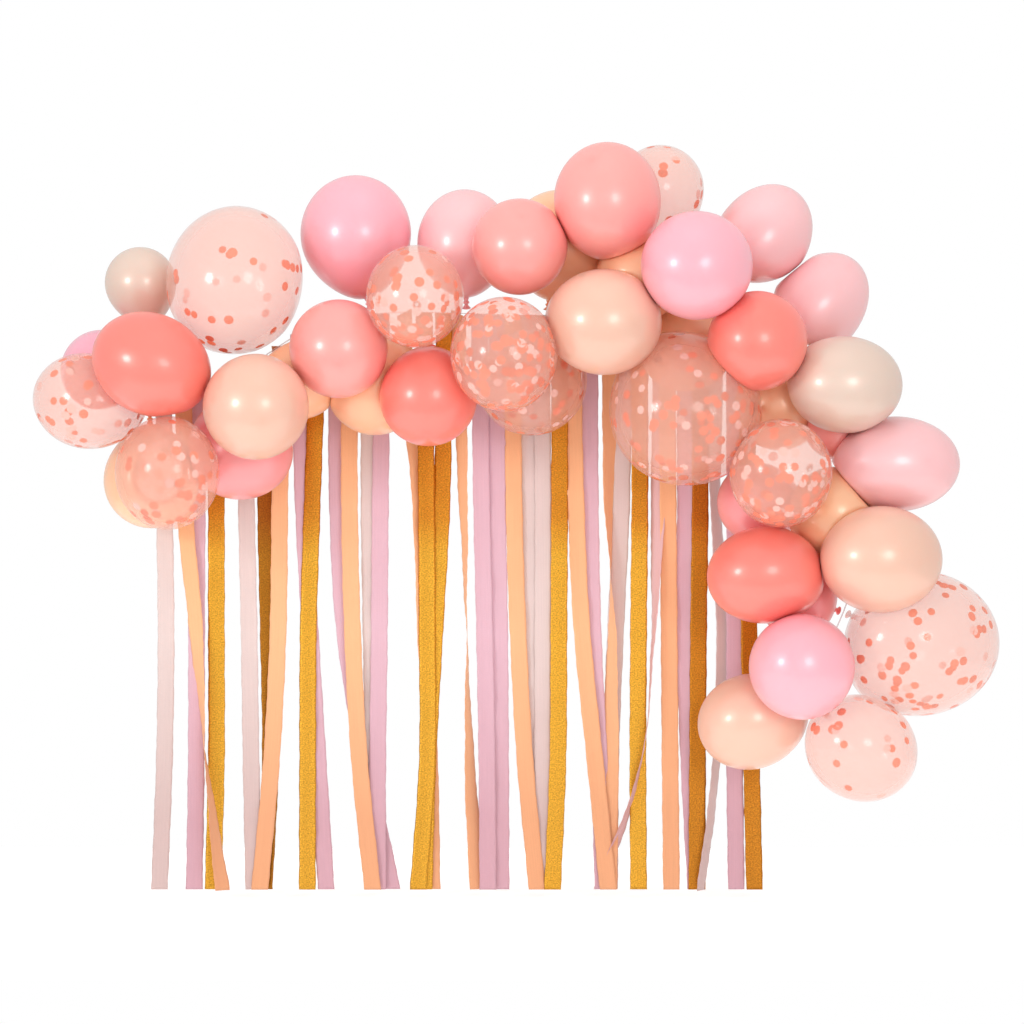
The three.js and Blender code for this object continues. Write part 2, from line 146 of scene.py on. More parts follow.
# Each streamer: its name, its solid's name if it has one, its paper, x where it leaves the tape
# and at each of STATIONS, how far behind the tape it hangs there, and its turn in degrees. One
# number stands for a depth or a turn that stays the same.
STREAMERS = (
    ("streamer_01_pale", True, "pale", (-1.180, -1.180, -1.175, -1.180, -1.195), 0.108, 0),
    ("streamer_16_lilac", False, "lilac", (-1.079, -1.082, -1.084, -1.085, -1.091), 0.110, 0),
    ("streamer_02_peach_twisted", True, "peach", (-1.120, -1.120, -1.085, -1.055, -1.005),
     (0.101, 0.101, 0.093, 0.085, 0.078), (0, 5, 30, 92, 145)),
    ("streamer_03_gold", True, "gold", (-1.025, -1.025, -1.025, -1.025, -1.035), 0.112, 0),
    ("streamer_17_pale", False, "pale", (-0.936, -0.935, -0.927, -0.921, -0.913), 0.108, 0),
    ("streamer_18_dark_gold", False, "dark_gold", (-0.876, -0.878, -0.870, -0.864, -0.882),
     0.114, 0),
    ("streamer_04_peach", True, "peach", (-0.830, -0.835, -0.840, -0.860, -0.895), 0.102, 0),
    ("streamer_19_lilac", False, "lilac", (-0.775, -0.766, -0.745, -0.721, -0.697), 0.110, 0),
    ("streamer_05_gold", True, "gold", (-0.725, -0.738, -0.750, -0.752, -0.753), 0.102, 0),
    ("streamer_20_lilac", False, "lilac", (-0.667, -0.664, -0.643, -0.581, -0.500), 0.121, 0),
    ("streamer_06_peach", True, "peach", (-0.627, -0.627, -0.618, -0.597, -0.558), 0.101, 0),
    ("streamer_21_pale", False, "pale", (-0.569, -0.569, -0.563, -0.556, -0.548), 0.115, 0),
    ("streamer_07_lilac", True, "lilac", (-0.530, -0.535, -0.538, -0.543, -0.543), 0.109, 0),
    ("streamer_22_peach_twisted", False, "peach", (-0.461, -0.426, -0.405, -0.387, -0.381),
     (0.122, 0.120, 0.118, 0.118, 0.118), (-30, -60, -40, -20, 0)),
    ("streamer_08_gold", True, "gold", (-0.403, -0.397, -0.395, -0.395, -0.422), 0.102, 0),
    ("streamer_23_gold", False, "gold", (-0.345, -0.351, -0.372, -0.393, -0.405), 0.108, 0),
    ("streamer_09_peach_twisted", True, "peach", (-0.300, -0.287, -0.277, -0.268, -0.244),
     0.112, (30, 57, 88, 125, 165)),
    ("streamer_10_lilac", True, "lilac", (-0.238, -0.233, -0.224, -0.217, -0.214), 0.102, 0),
    ("streamer_24_lilac", False, "lilac", (-0.187, -0.185, -0.179, -0.176, -0.175), 0.109, 0),
    ("streamer_25_peach", False, "peach", (-0.139, -0.136, -0.124, -0.103, -0.067), 0.105, 0),
    ("streamer_26_pale", False, "pale", (-0.094, -0.088, -0.079, -0.064, -0.053), 0.116, 0),
    ("streamer_11_pale", True, "pale", (-0.054, -0.049, -0.050, -0.050, -0.050), 0.110, 0),
    ("streamer_12_gold", True, "gold", (0.000, 0.000, -0.002, -0.005, -0.021), 0.101, 0),
    ("streamer_27_peach", False, "peach", (0.040, 0.049, 0.067, 0.106, 0.145), 0.105, 0),
    ("streamer_28_lilac", False, "lilac", (0.091, 0.092, 0.100, 0.118, 0.130), 0.113, 0),
    ("streamer_29_peach_twisted", False, "peach", (0.153, 0.150, 0.156, 0.153, 0.147),
     (0.120, 0.116, 0.107, 0.108, 0.112), (0, -45, -120, -160, -180)),
    ("streamer_30_pale", False, "pale", (0.192, 0.186, 0.168, 0.153, 0.150), 0.125, 0),
    ("streamer_31_pink_twisted", False, "pink", (0.306, 0.294, 0.279, 0.243, 0.121),
     (0.118, 0.118, 0.097, 0.080, 0.145), (0, 30, 78, 97, 140)),
    ("streamer_13_gold", True, "gold", (0.240, 0.240, 0.236, 0.234, 0.236), 0.110, 0),
    ("streamer_32_peach", False, "peach", (0.321, 0.324, 0.327, 0.330, 0.334), 0.105, 0),
    ("streamer_33_lilac", False, "lilac", (0.374, 0.376, 0.374, 0.386, 0.407), 0.112, 0),
    ("streamer_14_gold", True, "deep_gold", (0.420, 0.420, 0.415, 0.412, 0.410), 0.104, 0),
    ("streamer_34_pale_twisted", False, "pale", (0.467, 0.467, 0.488, 0.470, 0.422),
     (0.120, 0.118, 0.116, 0.105, 0.078), (0, -50, -35, -60, -60)),
    ("streamer_35_lilac", False, "lilac", (0.523, 0.523, 0.523, 0.523, 0.528), 0.109, 0),
    ("streamer_15_gold", True, "deep_gold", (0.558, 0.562, 0.566, 0.573, 0.582), 0.104, 0),
)
STATIONS = (-0.550, -0.935, -1.325, -1.710)

# The neck from the knot to the rolled lip, as (from the axis, behind the lip).
NECK_AND_LIP = (
    (0.0060, 0.0225), (0.0056, 0.0205), (0.0082, 0.0185), (0.0096, 0.0160), (0.0082, 0.0135),
    (0.0050, 0.0118), (0.0054, 0.0095), (0.0080, 0.0060), (0.0112, 0.0026), (0.0128, 0.0012),
    (0.0130, 0.0003), (0.0122, 0.0), (0.0108, 0.0006), (0.0070, 0.0028), (0.0, 0.0040),
)
ARCH_END = 0.79  # x where the tape turns down the right side
PLACE_TOLERANCE = 0.03  # how far a balloon's box may be off its solid's
FLOOR_GAP = 0.03  # from the streamers' hems down to the floor
CAMERA_PLACE = (-0.142, -12.25, -0.583)
CAMERA_LENS = 145.5

LATEX_SLOTS = {
    "coral": "latex_coral", "rose": "latex_rose", "pink_in_shade": "latex_pink", "pink": "latex_pink",
    "pale_pink": "latex_pale_pink", "peach": "latex_peach", "cream_peach": "latex_peach",
    "cream": "latex_cream", "lilac": "latex_lilac", "clear": "latex_clear",
}
CREPE_SLOTS = {
    "pale": "crepe_pale", "lilac": "crepe_lilac", "pink": "crepe_pale", "peach": "crepe_peach",
    "gold": "crepe_gold", "dark_gold": "crepe_gold", "deep_gold": "crepe_gold",
}


# ---- Sizes and colours ----
def length(name, description, default):
    return FloatProperty(name=name, description=description, default=default, unit="LENGTH")


def colour(name, description, default):
    return FloatVectorProperty(
        name=name, description=description, default=default, subtype="COLOR_GAMMA", min=0, max=1
    )


class GarlandSizes(bpy.types.PropertyGroup):
    """Sizes of the garland's pieces."""

    back_plane: length("Back plane", "Where the balloons' backs press flat", 0.096)
    contact_gap: length("Contact gap", "Each balloon's share of the gap at a contact", 0.0002)
    contact_edge: length("Contact edge", "How softly a balloon rounds into a contact", 0.006)
    neck_length: length("Neck length", "From the end of the body to the lip", 0.032)
    tape_clearance: length("Tape clearance", "From the lip to the middle of the tape", 0.016)
    disc_radius: length("Confetti radius", "Radius of a confetti disc", 0.0132)
    disc_inset: length("Confetti inset", "From the latex in to the confetti", 0.0026)
    pink_share: FloatProperty(
        name="Pink confetti", description="Share of the confetti that is pale pink", default=0.3,
        subtype="FACTOR", min=0, max=1,
    )
    balloon_sides: IntProperty(
        name="Balloon sides", description="Sides round a balloon", default=72
    )
    streamer_width: length("Streamer width", "Width of a crepe streamer", 0.050)
    streamer_thickness: length("Streamer thickness", "Thickness of the crepe", 0.0005)
    streamer_rows: IntProperty(
        name="Streamer rows", description="Lengths that a streamer is drawn with", default=170
    )


class GarlandColours(bpy.types.PropertyGroup):
    """Colours of the latex, the crepe and the confetti."""

    coral: colour("Coral latex", "Coral balloons", (1.0, 0.525, 0.475))
    rose: colour("Rose latex", "Rose balloons", (1.0, 0.655, 0.63))
    # Pink latex in shade: a deeper copy of the pink latex, set from hidden balloons seen in shade,
    # so painted shade.
    pink_in_shade: colour("Rose pink latex", "Rose pink balloons", (1.0, 0.64, 0.65))
    pink: colour("Pink latex", "Pink balloons", (1.0, 0.705, 0.755))
    pale_pink: colour("Pale pink latex", "Pale pink balloons", (0.985, 0.765, 0.775))
    # Peach latex: a deeper copy of the cream peach, set from hidden balloons seen in shade, so
    # partly their own peach and partly painted shade.
    peach: colour("Peach latex", "Peach balloons", (1.0, 0.78, 0.62))
    cream_peach: colour("Cream peach latex", "Cream peach balloons", (0.93, 0.755, 0.67))
    cream: colour("Cream latex", "Cream balloons", (0.885, 0.79, 0.73))
    lilac: colour("Lilac latex", "Lilac balloons", (0.98, 0.70, 0.77))
    clear: colour("Clear latex", "The haze of the clear balloons", (0.97, 0.74, 0.66))
    crepe_pale: colour("Pale crepe", "Pale streamers", (0.90, 0.83, 0.815))
    crepe_lilac: colour("Lilac crepe", "Lilac streamers", (0.90, 0.745, 0.80))
    crepe_pink: colour("Pink crepe", "The pinkish streamer", (0.93, 0.76, 0.76))
    crepe_peach: colour("Peach crepe", "Peach streamers", (1.0, 0.76, 0.57))
    crepe_gold: colour("Gold crepe", "Gold streamers", (0.96, 0.715, 0.22))
    # Dark and deep gold: darker copies of the gold crepe, painted shade for streamers whose gold
    # lies in shade and reflects less light.
    crepe_dark_gold: colour("Dark gold crepe", "The darkest gold streamer", (0.72, 0.46, 0.08))
    crepe_deep_gold: colour("Deep gold crepe", "The right-hand gold streamers", (0.84, 0.54, 0.12))
    confetti_peach: colour("Peach confetti", "Peach tissue discs", (1.0, 0.53, 0.34))
    confetti_pink: colour("Pink confetti", "Pale pink tissue discs", (1.0, 0.88, 0.86))


def scene_linear(gamma_colour, alpha=1.0):
    return (*Color(gamma_colour).from_srgb_to_scene_linear(), alpha)


# ---- Node tree helpers ----
def set_inputs(made, values):
    for name, value in values.items():
        made.inputs[name].default_value = value


def node(tree, kind, at, values=None, **settings):
    made = tree.nodes.new(kind)
    made.location = at
    for name, value in settings.items():
        setattr(made, name, value)
    set_inputs(made, values or {})
    return made


def maths(tree, operation, at, values=None, **settings):
    return node(tree, "ShaderNodeMath", at, values, operation=operation, **settings)


def connect(tree, *joins):
    """Joins nodes, each as (from node, its output, to node, its input)."""
    for start, output, end, socket in joins:
        tree.links.new(start.outputs[output], end.inputs[socket])


def new_group(name, inputs, outputs):
    tree = bpy.data.node_groups.new(name, "ShaderNodeTree")
    for socket, kind, default in inputs:
        made = tree.interface.new_socket(socket, in_out="INPUT", socket_type="NodeSocket" + kind)
        if default is not None:
            made.default_value = default
    for socket, kind in outputs:
        tree.interface.new_socket(socket, in_out="OUTPUT", socket_type="NodeSocket" + kind)
    return tree


def latex_tone_group():
    """Blown-up latex: deeper in colour where it is thick, at the neck and the nose, and faintly
    clouded all over."""
    if tree := bpy.data.node_groups.get("Latex Tone"):
        return tree
    tree = new_group(
        "Latex Tone",
        (
            ("Vector", "Vector", None),
            ("Thickness", "Float", 0.0),
            ("Latex", "Color", (1, 1, 1, 1)),
            ("Deep Latex", "Color", (1, 1, 1, 1)),
            ("Clouding", "Float", 0.05),
            ("Roughness", "Float", 0.3),
        ),
        (("Colour", "Color"), ("Roughness", "Float"),
         ("Height", "Float")),
    )
    start = node(tree, "NodeGroupInput", (-900, 0))
    clouds = node(tree, "ShaderNodeTexNoise", (-700, -200), {"Scale": 9.0, "Detail": 3.0})
    skin = node(tree, "ShaderNodeTexNoise", (-700, -450), {"Scale": 160.0, "Detail": 2.0})
    centred = maths(tree, "SUBTRACT", (-500, -200), {1: 0.5})
    scaled = maths(tree, "MULTIPLY", (-320, -200))
    depth = maths(tree, "ADD", (-140, -60), use_clamp=True)
    tone = node(tree, "ShaderNodeMix", (60, 100), data_type="RGBA")
    wear = maths(tree, "MULTIPLY", (60, -300), {1: 0.06})
    rough = maths(tree, "ADD", (240, -260))
    end = node(tree, "NodeGroupOutput", (440, 0))
    connect(
        tree,
        (start, "Vector", clouds, "Vector"), (start, "Vector", skin, "Vector"),
        (clouds, "Fac", centred, 0), (centred, 0, scaled, 0), (start, "Clouding", scaled, 1),
        (scaled, 0, depth, 0), (start, "Thickness", depth, 1), (depth, 0, tone, "Factor"),
        (start, "Latex", tone, "A"), (start, "Deep Latex", tone, "B"), (centred, 0, wear, 0),
        (wear, 0, rough, 0), (start, "Roughness", rough, 1), (tone, "Result", end, "Colour"),
        (rough, 0, end, "Roughness"), (skin, "Fac", end, "Height"),
    )
    return tree


def crepe_crimp_group():
    """Crepe paper: fine crimps across the ribbon and long soft creases down it, which also darken
    the colour as painted shade; a faint grain, which on the gold is painted sparkle; a deeper tone
    near the top, painted shade where the balloons shade it; and another toward the hem."""
    if tree := bpy.data.node_groups.get("Crepe Crimp"):
        return tree
    tree = new_group(
        "Crepe Crimp",
        (
            ("Paper", "Color", (1, 1, 1, 1)),
            ("Shaded Paper", "Color", (1, 1, 1, 1)),
            ("Hem Paper", "Color", (1, 1, 1, 1)),
            ("Shade Height", "Float", -0.71),
            ("Shade Fade", "Float", 9.0),
            ("Crimps", "Float", 150.0),
            ("Crimp Tone", "Float", 0.14),
            ("Crease Tone", "Float", 0.12),
            ("Grain And Sparkle Tone", "Float", 0.04),
            ("Lift", "Float", 1.12),
        ),
        (("Colour", "Color"), ("Height", "Float"),
         ("Sparkle", "Float")),
    )
    start = node(tree, "NodeGroupInput", (-1300, 0))
    ribbon = node(tree, "ShaderNodeUVMap", (-1300, -300), uv_map="ribbon")
    place = node(tree, "ShaderNodeTexCoord", (-1300, 300))
    crimps = node(
        tree, "ShaderNodeTexWave", (-1000, -200),
        {"Distortion": 2.2, "Detail": 2.0, "Detail Scale": 1.6}, bands_direction="Y",
    )
    stretch = node(tree, "ShaderNodeMapping", (-1200, -560), {"Scale": (260.0, 5.0, 1.0)})
    creases = node(tree, "ShaderNodeTexNoise", (-1000, -520), {"Scale": 1.0, "Detail": 2.0})
    grains = node(tree, "ShaderNodeMapping", (-1200, -860), {"Scale": (220.0, 240.0, 1.0)})
    sparkle = node(tree, "ShaderNodeTexNoise", (-1000, -820), {"Scale": 1.0, "Detail": 1.0})
    split = node(tree, "ShaderNodeSeparateXYZ", (-1100, 300))
    below = maths(tree, "SUBTRACT", (-900, 300))
    fade = maths(tree, "MULTIPLY", (-720, 300), use_clamp=True)
    shaded = node(tree, "ShaderNodeMix", (-500, 200), data_type="RGBA")
    # Crimp and crease tones: painted shade along the paper's folds, following the relief.
    crimp_dark = maths(tree, "MULTIPLY", (-720, -60))
    crease_dark = maths(tree, "MULTIPLY", (-720, -300))
    # Grain tone: a faint paper grain, and on the gold strong flecks of painted sparkle.
    grain_and_sparkle_dark = maths(tree, "MULTIPLY", (-720, -520))
    both = maths(tree, "ADD", (-520, -120))
    dark = maths(tree, "ADD", (-520, -320))
    light = maths(tree, "SUBTRACT", (-340, -120))
    hem = node(
        tree, "ShaderNodeMapRange", (-720, 520), {"From Min": -0.95, "From Max": -1.5},
    )
    hemmed = node(tree, "ShaderNodeMix", (-320, 300), data_type="RGBA")
    toned = node(tree, "ShaderNodeMix", (-140, 100), {"Factor": 1.0}, data_type="RGBA",
                 blend_type="MULTIPLY")
    relief = maths(tree, "MULTIPLY_ADD", (-140, -300), {1: 0.6})
    end = node(tree, "NodeGroupOutput", (160, 0))
    connect(
        tree,
        (ribbon, "UV", crimps, "Vector"), (start, "Crimps", crimps, "Scale"),
        (ribbon, "UV", stretch, "Vector"), (stretch, "Vector", creases, "Vector"),
        (ribbon, "UV", grains, "Vector"), (grains, "Vector", sparkle, "Vector"),
        (place, "Object", split, "Vector"), (split, "Z", below, 0),
        (start, "Shade Height", below, 1), (below, 0, fade, 0), (start, "Shade Fade", fade, 1),
        (fade, 0, shaded, "Factor"), (start, "Paper", shaded, "A"),
        (start, "Shaded Paper", shaded, "B"), (split, "Z", hem, "Value"),
        (hem, "Result", hemmed, "Factor"), (shaded, "Result", hemmed, "A"),
        (start, "Hem Paper", hemmed, "B"), (crimps, "Fac", crimp_dark, 0),
        (start, "Crimp Tone", crimp_dark, 1), (creases, "Fac", crease_dark, 0),
        (start, "Crease Tone", crease_dark, 1), (crimp_dark, 0, both, 0),
        (crease_dark, 0, both, 1), (sparkle, "Fac", grain_and_sparkle_dark, 0),
        (start, "Grain And Sparkle Tone", grain_and_sparkle_dark, 1), (both, 0, dark, 0), (grain_and_sparkle_dark, 0, dark, 1),
        (start, "Lift", light, 0), (dark, 0, light, 1), (hemmed, "Result", toned, "A"),
        (light, 0, toned, "B"), (creases, "Fac", relief, 0), (crimps, "Fac", relief, 2),
        (toned, "Result", end, "Colour"), (relief, 0, end, "Height"),
        (sparkle, "Fac", end, "Sparkle"),
    )
    return tree


# ---- Materials ----
def new_material(name):
    material = bpy.data.materials.new(name)
    material.use_nodes = True
    tree = material.node_tree
    shader = tree.nodes["Principled BSDF"]
    shader.location = (300, 0)
    tree.nodes["Material Output"].location = (620, 0)
    return material, tree, shader


def latex_skin(tree, shader, latex, deepening, clouding, roughness):
    """The latex tone joined to a material's shader."""
    body = scene_linear(latex)
    deep = tuple(share ** deepening for share in body[:3]) + (1.0,)
    tone = node(
        tree, "ShaderNodeGroup", (0, 0),
        {"Latex": body, "Deep Latex": deep, "Clouding": clouding, "Roughness": roughness},
        node_tree=latex_tone_group(),
    )
    place = node(tree, "ShaderNodeTexCoord", (-300, 100))
    thick = node(tree, "ShaderNodeAttribute", (-300, -200), attribute_name="thickness")
    connect(
        tree,
        (place, "Object", tone, "Vector"), (thick, "Fac", tone, "Thickness"),
        (tone, "Colour", shader, "Base Color"), (tone, "Roughness", shader, "Roughness"),
    )
    return tone


def latex_material(name, latex):
    """Pearly latex, with a small bright gloss over a broad soft one."""
    if found := bpy.data.materials.get("pearl_" + name):
        return found
    material, tree, shader = new_material("pearl_" + name)
    tone = latex_skin(tree, shader, latex, deepening=1.35, clouding=0.10, roughness=0.36)
    bump = node(tree, "ShaderNodeBump", (100, -300), {"Strength": 0.05, "Distance": 0.0004})
    connect(tree, (tone, "Height", bump, "Height"), (bump, "Normal", shader, "Normal"))
    set_inputs(shader, {
        "Metallic": 0.12, "Specular IOR Level": 0.7, "Subsurface Weight": 0.25,
        "Subsurface Radius": (0.02, 0.008, 0.006), "Subsurface Scale": 1.0, "Coat Weight": 0.6,
        "Coat Roughness": 0.16, "Coat IOR": 1.5,
    })
    return material


def clear_latex_material(latex):
    """Thin clear latex: see-through, with a warm haze and a bright gloss."""
    if found := bpy.data.materials.get("hazy_clear"):
        return found
    material, tree, shader = new_material("hazy_clear")
    latex_skin(tree, shader, latex, deepening=1.3, clouding=0.5, roughness=0.2)
    set_inputs(shader, {"Alpha": 0.42, "Coat Weight": 1.0, "Coat Roughness": 0.08})
    return material


def crepe_material(name, paper, shaded_paper, hem_paper, metallic=0.0, shade_height=-0.35):
    if found := bpy.data.materials.get("crimped_" + name):
        return found
    material, tree, shader = new_material("crimped_" + name)
    crimp = node(tree, "ShaderNodeGroup", (-100, 0), node_tree=crepe_crimp_group())
    set_inputs(crimp, {
        "Paper": scene_linear(paper), "Shaded Paper": scene_linear(shaded_paper),
        "Hem Paper": scene_linear(hem_paper), "Shade Height": shade_height,
    })
    bump = node(tree, "ShaderNodeBump", (100, -300), {"Strength": 0.6, "Distance": 0.0005})
    connect(
        tree,
        (crimp, "Colour", shader, "Base Color"), (crimp, "Height", bump, "Height"),
        (bump, "Normal", shader, "Normal"),
    )
    if metallic:
        glint = node(tree, "ShaderNodeMapRange", (100, -120), {"To Min": 0.26, "To Max": 0.52})
        connect(tree, (crimp, "Sparkle", glint, "Value"), (glint, "Result", shader, "Roughness"))
        # On the gold, a strong grain tone and a lift paint sparkle into the colour.
        set_inputs(crimp, {
            "Crimps": 90.0, "Crimp Tone": 0.24, "Crease Tone": 0.0, "Grain And Sparkle Tone": 1.1, "Lift": 1.5,
        })
    else:
        set_inputs(shader, {"Roughness": 0.85, "Specular IOR Level": 0.25, "Sheen Weight": 0.15})
    shader.inputs["Metallic"].default_value = metallic
    return material


def tissue_material(name, tissue):
    """Tissue paper for confetti, with a faint grain."""
    if found := bpy.data.materials.get("tissue_" + name):
        return found
    material, tree, shader = new_material("tissue_" + name)
    place = node(tree, "ShaderNodeTexCoord", (-500, 0))
    grain = node(tree, "ShaderNodeTexNoise", (-300, 0), {"Scale": 60.0, "Detail": 2.0})
    tone = node(tree, "ShaderNodeMix", (0, 0), data_type="RGBA")
    body = scene_linear(tissue)
    set_inputs(tone, {"A": tuple(share ** 1.25 for share in body[:3]) + (1.0,), "B": body})
    connect(
        tree,
        (place, "Object", grain, "Vector"), (grain, "Fac", tone, "Factor"),
        (tone, "Result", shader, "Base Color"),
    )
    shader.inputs["Roughness"].default_value = 0.7
    return material


def tape_material():
    """Clear plastic tape."""
    if found := bpy.data.materials.get("scuffed_plastic"):
        return found
    material, tree, shader = new_material("scuffed_plastic")
    place = node(tree, "ShaderNodeTexCoord", (-500, 0))
    scuffs = node(tree, "ShaderNodeTexNoise", (-300, 0), {"Scale": 90.0, "Detail": 3.0})
    rough = node(tree, "ShaderNodeMapRange", (0, -100), {"To Min": 0.15, "To Max": 0.35})
    connect(
        tree,
        (place, "Object", scuffs, "Vector"), (scuffs, "Fac", rough, "Value"),
        (rough, "Result", shader, "Roughness"),
    )
    set_inputs(shader, {"Base Color": (0.86, 0.87, 0.88, 1.0), "Alpha": 0.5})
    return material


# ---- Shared shapes ----
def tape_places():
    """The middle of the tape at each of its stations, from its solid's back corners."""
    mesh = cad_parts["carrying_strip"].data
    corners = np.array([vertex.co for vertex in mesh.vertices])
    corners = np.unique(np.round(corners[corners[:, 1] > 0], 5), axis=0)
    places = []
    for corner in corners:
        others = np.linalg.norm(corners - corner, axis=1)
        others[others < 1e-4] = 1.0
        partner = corners[others.argmin()]
        places.append(((corner[0] + partner[0]) / 2, 0.0, (corner[2] + partner[2]) / 2))
    return np.unique(np.round(places, 5), axis=0)


def tape_height(places, x):
    """The tape's height where a streamer leaves it, along the arch."""
    arch = places[places[:, 0].argsort()]
    arch = arch[arch[:, 0] < ARCH_END]
    return float(np.interp(x, arch[:, 0], arch[:, 2]))


def spline(points, count):
    """A smooth curve through the points, as count + 1 places at even distances along it."""
    points = np.array(points, float)
    ends = np.vstack([2 * points[0] - points[1], points, 2 * points[-1] - points[-2]])
    fine = []
    for i in range(len(points) - 1):
        p0, p1, p2, p3 = ends[i:i + 4]
        d0, d1, d2 = (np.sqrt(np.linalg.norm(b - a)) for a, b in ((p0, p1), (p1, p2), (p2, p3)))
        t1 = ((p1 - p0) / d0 - (p2 - p0) / (d0 + d1) + (p2 - p1) / d1) * d1
        t2 = ((p2 - p1) / d1 - (p3 - p1) / (d1 + d2) + (p3 - p2) / d2) * d1
        for t in np.linspace(0, 1, 60, endpoint=False):
            square, cube = 3 * (p2 - p1) - 2 * t1 - t2, 2 * (p1 - p2) + t1 + t2
            fine.append(p1 + t1 * t + square * t**2 + cube * t**3)
    fine.append(points[-1])
    fine = np.array(fine)
    along = np.concatenate([[0], np.cumsum(np.linalg.norm(np.diff(fine, axis=0), axis=1))])
    even = np.linspace(0, along[-1], count + 1)
    return np.column_stack([np.interp(even, along, fine[:, axis]) for axis in range(3)]), even


def finished(name, mesh, material, slot, *solids):
    """The mesh as a piece of the garland that stands for its solids."""
    piece = bpy.data.objects.new(name, mesh)
    bpy.context.scene.collection.objects.link(piece)
    if material:
        mesh.materials.append(material)
    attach(piece, "root")
    if solids:
        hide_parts(*solids)
    return piece


# ---- Balloons ----
def balloon_outline(radius, taper, lip, neck_length):
    """Half a balloon's outline from the nose to the lip, as (from the axis, along the axis)."""
    outline = [
        (radius * math.sin(angle), -radius * math.cos(angle))
        for angle in np.linspace(0, math.pi / 2, 19)
    ]
    for angle in np.linspace(0, math.asin(0.955), 17)[1:]:
        step = math.sin(angle)
        outline.append((radius * math.cos(angle) * (1 - 0.2 * step**2), radius * taper * step))
    shoulder = np.array(outline[-1])
    slope = shoulder - np.array(outline[-2])
    slope /= np.linalg.norm(slope)
    neck = np.array((0.0085, lip - neck_length + 0.005))
    reach = 0.55 * (shoulder[0] - neck[0])
    bend_out = shoulder + slope * reach
    bend_in = neck - np.array((0.0, min(0.010, reach)))
    for t in np.linspace(0, 1, 8)[1:]:
        outline.append(tuple(
            (1 - t) ** 3 * shoulder + 3 * (1 - t) ** 2 * t * bend_out
            + 3 * (1 - t) * t**2 * bend_in + t**3 * neck
        ))
    return outline + [(width, lip - behind) for width, behind in NECK_AND_LIP]


def lengthening(degrees, times):
    """Makes a balloon times as long along one way, degrees from +X toward +Z."""
    way = np.array((math.cos(math.radians(degrees)), 0.0, math.sin(math.radians(degrees))))
    return np.eye(3) + (times - 1) * np.outer(way, way)


class Balloon:
    """One balloon: where it is, how far its lip reaches, and which way it is tied."""

    def __init__(self, row, places, sizes):
        self.name, self.latex, self.radius, middle, taper, (way, times) = row
        self.push = lengthening(way, times)
        self.middle = np.array(middle)
        if self.name in TIED_ELSEWHERE:
            x, z = TIED_ELSEWHERE[self.name]
            tie = np.array((x, 0.0, z))
        else:
            tie = places[np.linalg.norm(places - self.middle, axis=1).argmin()]
        clear = 1 - sizes.tape_clearance / np.linalg.norm(tie - self.middle)
        to_tie = lengthening(way, 1 / times) @ (tie - self.middle)
        gap = np.linalg.norm(to_tie)
        self.aim = to_tie / gap
        self.lip = min(self.radius * taper + sizes.neck_length, gap * clear)
        self.taper = min(taper, (self.lip - sizes.neck_length) / self.radius)

    def skin(self, sizes):
        """Rings of places round the axis, from the nose to the lip, about the middle."""
        outline = balloon_outline(self.radius, self.taper, self.lip, sizes.neck_length)
        side = np.array(Vector(self.aim).orthogonal().normalized())
        up = np.cross(self.aim, side)
        turns = np.linspace(0, 2 * math.pi, sizes.balloon_sides, endpoint=False)
        rim = np.outer(np.cos(turns), side) + np.outer(np.sin(turns), up)
        rings = [width * rim + height * self.aim for width, height in outline[1:-1]]
        nose, end = outline[0][1] * self.aim, outline[-1][1] * self.aim
        skin = np.vstack([nose[None], *rings, end[None]])
        return skin @ self.push, outline

    def extent(self, way):
        return self.radius * np.linalg.norm(self.push @ way)

    def contacts(self, others, sizes):
        """The planes where it presses on its neighbours and on the back plane."""
        planes = [(np.array((0.0, 1.0, 0.0)), sizes.back_plane - self.middle[1])]
        for other in others:
            if other is self:
                continue
            between = other.middle - self.middle
            apart = np.linalg.norm(between)
            if apart > 1.2 * (self.lip + other.lip):
                continue
            way = between / apart
            own, theirs = self.extent(way), other.extent(way)
            slack = apart - own - theirs
            if slack > 0:
                reach = own + slack / 2
            else:
                reach = (apart**2 + own**2 - theirs**2) / (2 * apart)
            planes.append((way, reach - sizes.contact_gap))
        return planes


def pressed(skin, planes, edge):
    """The skin flattened at each contact, with a softly rounded edge round the flat."""
    skin = skin.copy()
    for out, reach in planes:
        past = skin @ out - reach
        near = np.abs(past) < edge
        skin[near] -= np.outer((past[near] + edge) ** 2 / (4 * edge), out)
    for _ in range(30):
        for out, reach in planes:
            past = np.maximum(skin @ out - reach, 0)
            skin -= np.outer(past, out)
    return skin


def lathe_faces(rings, sides):
    """Faces over a nose point, rings of sides points, and an end point."""
    faces = [(0, 1 + (i + 1) % sides, 1 + i) for i in range(sides)]
    for ring in range(rings - 1):
        low, high = 1 + ring * sides, 1 + (ring + 1) * sides
        for i in range(sides):
            j = (i + 1) % sides
            faces.append((low + i, low + j, high + j, high + i))
    low, end = 1 + (rings - 1) * sides, 1 + rings * sides
    faces += [(low + i, low + (i + 1) % sides, end) for i in range(sides)]
    return faces


def facing_out(mesh):
    shape = bmesh.new()
    shape.from_mesh(mesh)
    bmesh.ops.recalc_face_normals(shape, faces=shape.faces)
    if shape.calc_volume(signed=True) < 0:
        bmesh.ops.reverse_faces(shape, faces=shape.faces)
    shape.to_mesh(mesh)
    shape.free()


